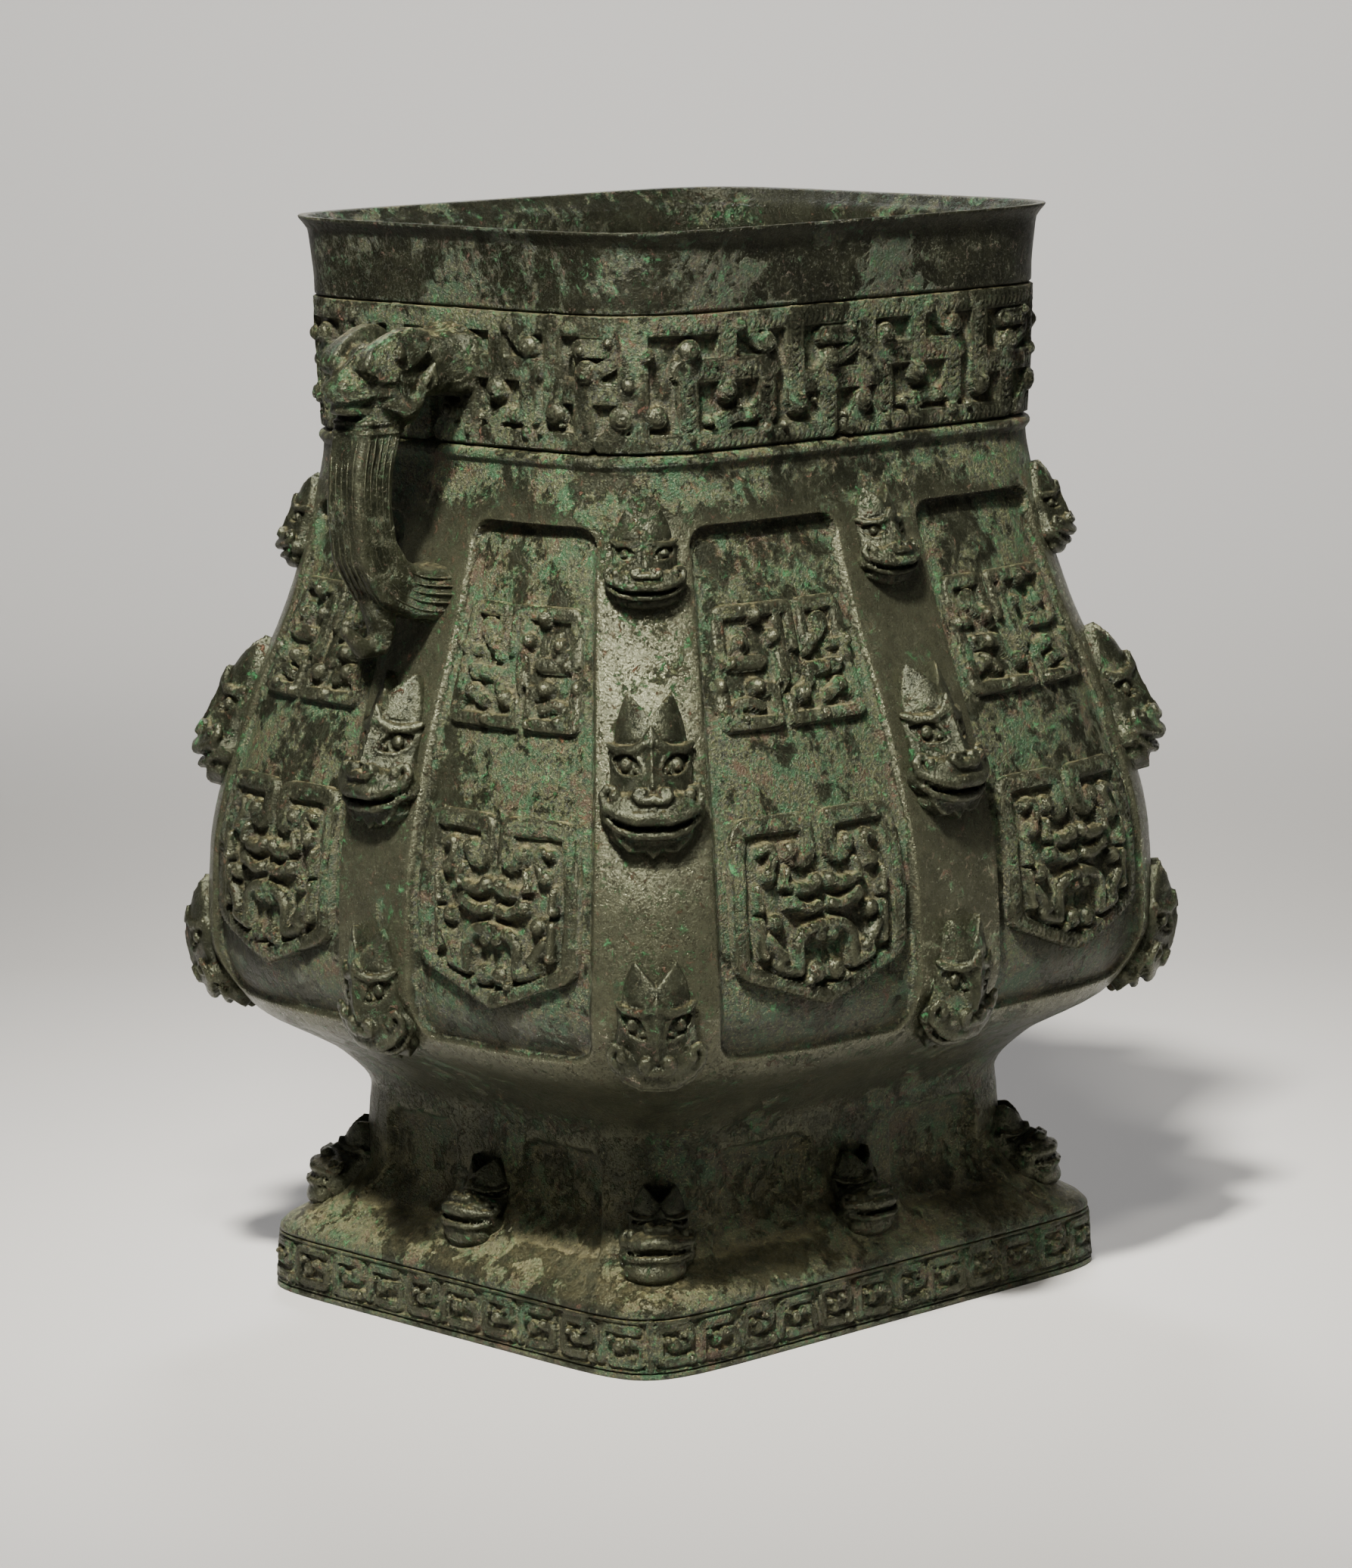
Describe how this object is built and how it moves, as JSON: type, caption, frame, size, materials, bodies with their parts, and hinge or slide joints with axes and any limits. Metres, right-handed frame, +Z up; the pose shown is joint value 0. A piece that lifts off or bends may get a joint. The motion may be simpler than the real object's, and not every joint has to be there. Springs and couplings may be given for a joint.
{
  "type": "square bronze wine vessel",
  "caption": "Square-bodied cast bronze wine vessel with strapped, pear-shaped sides, beast masks, a flaring foot and beast-headed loop handles.",
  "frame": {"origin": "centre of the foot's underside, where the vessel stands on a table", "axes": "+Z up through the mouth; the wide faces look along -Y and +Y; the narrow faces with the handles look along -X and +X"},
  "size_m": [0.3308, 0.2972, 0.4],
  "materials": {
    "cast_bronze": "aged cast bronze with dark green and earthy patina",
    "handle_bronze": "aged cast bronze, worn smoother where it is held"
  },
  "bodies": {
    "root": {"vessel": "cast_bronze", "handle_left": "handle_bronze", "handle_right": "handle_bronze"}
  },
  "joints": []
}
